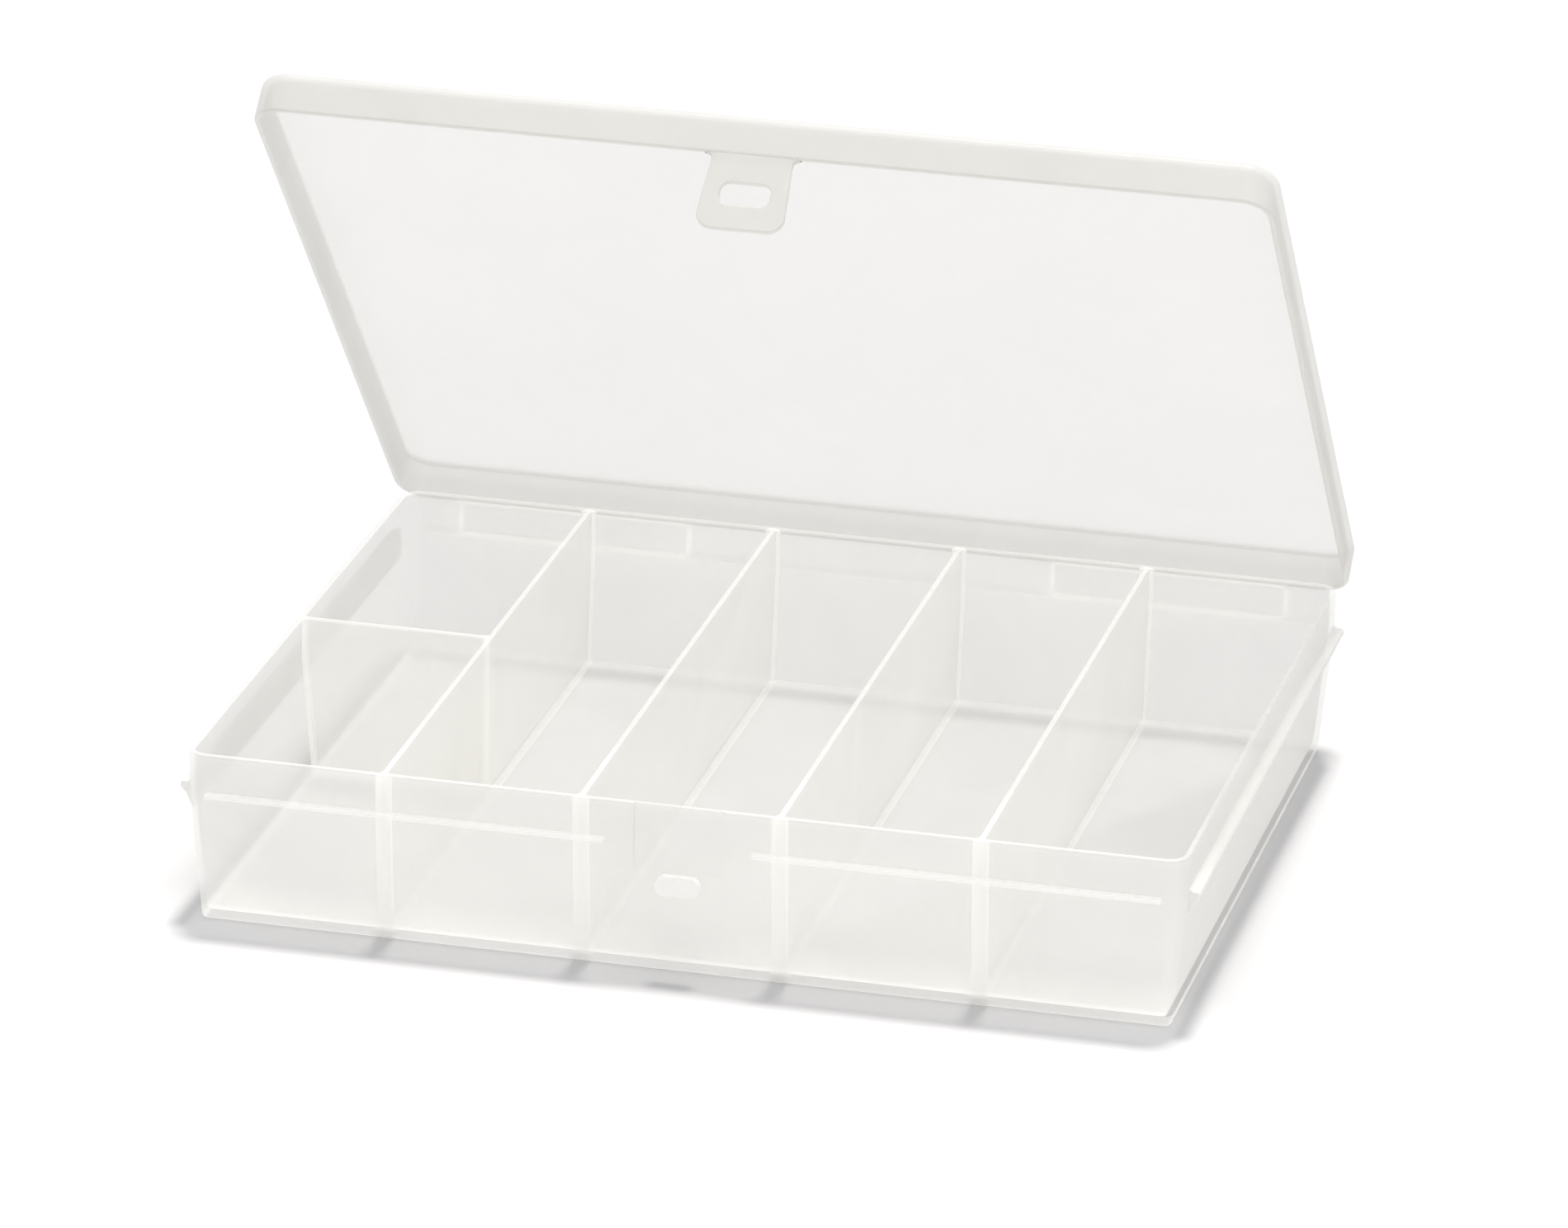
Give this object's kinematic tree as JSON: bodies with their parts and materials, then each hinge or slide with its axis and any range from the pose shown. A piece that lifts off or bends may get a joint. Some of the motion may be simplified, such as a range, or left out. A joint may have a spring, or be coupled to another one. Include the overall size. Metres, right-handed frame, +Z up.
{
  "type": "fishing tackle box",
  "caption": "Flat rectangular divided tray for small tackle, with a shallow lid on flexible strap hinges and a slotted tab that clips over a stud on the front.",
  "frame": {"origin": "centre of the tray's underside, on the surface that it stands on", "axes": "+X along the front to the right, +Y from the latch to the hinge, +Z up"},
  "size_m": [0.2144, 0.1765, 0.1656],
  "materials": {
    "tray_plastic": "satin translucent milky polypropylene",
    "lid_plastic": "satin translucent milky polypropylene",
    "strap_plastic": "thin translucent polypropylene"
  },
  "bodies": {
    "tray": {"tray_shell": "tray_plastic", "divider_1": "tray_plastic", "divider_2": "tray_plastic", "divider_3": "tray_plastic", "divider_4": "tray_plastic", "cross_divider": "tray_plastic", "front_ledge_left": "tray_plastic", "front_ledge_right": "tray_plastic", "rear_ledge": "tray_plastic", "side_rib_left": "tray_plastic", "side_rib_right": "tray_plastic", "latch_stud": "tray_plastic", "hinge_strap_left": "strap_plastic", "hinge_strap_right": "strap_plastic"},
    "lid": {"lid_shell": "lid_plastic"},
    "latch": {"latch_tab": "lid_plastic"}
  },
  "joints": [
    {"name": "lid_hinge", "type": "hinge", "parent": "tray", "child": "lid", "pos_m": [0, 0.0917, 0.0325], "axis": [-1, 0, 0], "range_deg": [-47.4, 52.6], "deforming": ["hinge_strap_left", "hinge_strap_right"]},
    {"name": "latch_flex", "type": "hinge", "parent": "lid", "child": "latch", "pos_m": [0, -0.02971, 0.15996], "axis": [-1, 0, 0], "range_deg": [0, 15], "stiffness_Nm_per_rad": 0.08}
  ]
}
